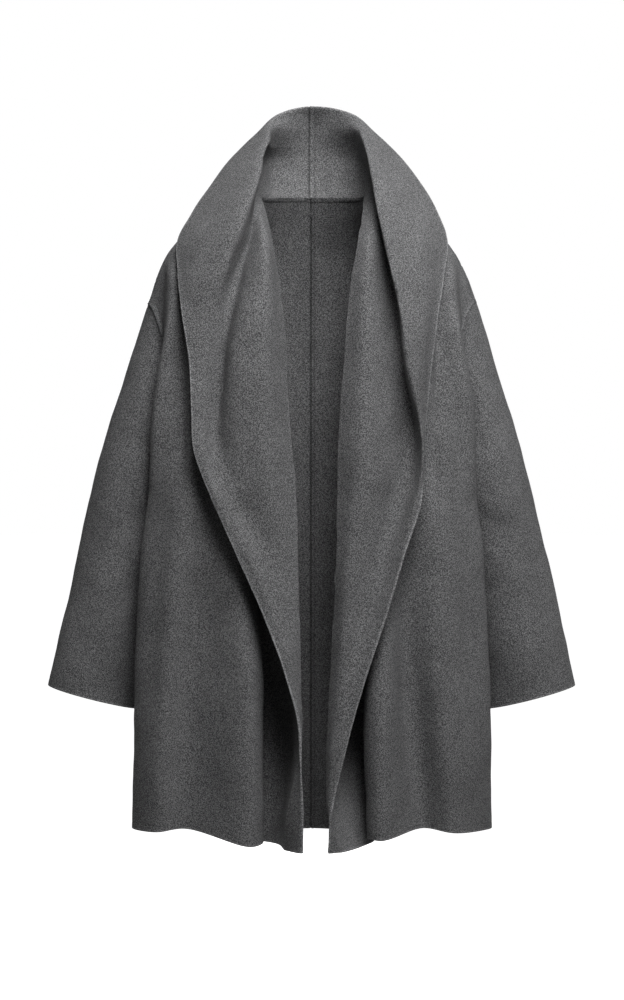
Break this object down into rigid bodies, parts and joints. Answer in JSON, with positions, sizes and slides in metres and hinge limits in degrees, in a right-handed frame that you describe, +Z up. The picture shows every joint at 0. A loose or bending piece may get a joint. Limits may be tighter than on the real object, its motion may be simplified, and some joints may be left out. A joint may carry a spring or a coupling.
{
  "type": "hooded wool coat",
  "caption": "Open-front hooded wool coat with wide shawl lapels that run into the hood, dropped shoulders and wide sleeves, filled out and hollow as worn.",
  "frame": {"origin": "the middle of the neck opening, level with the neck seam, where the wearer's shoulders hold the coat", "axes": "+Z up, -Y towards the front, +X towards the wearer's left"},
  "size_m": [0.7622, 0.2794, 1.0644],
  "materials": {
    "wool_melange": "brushed mid-grey wool melange, matt"
  },
  "bodies": {
    "root": {"back_left": "wool_melange", "back_right": "wool_melange", "front_and_hood_left": "wool_melange", "front_and_hood_right": "wool_melange", "sleeve_left": "wool_melange", "sleeve_right": "wool_melange"}
  },
  "joints": []
}
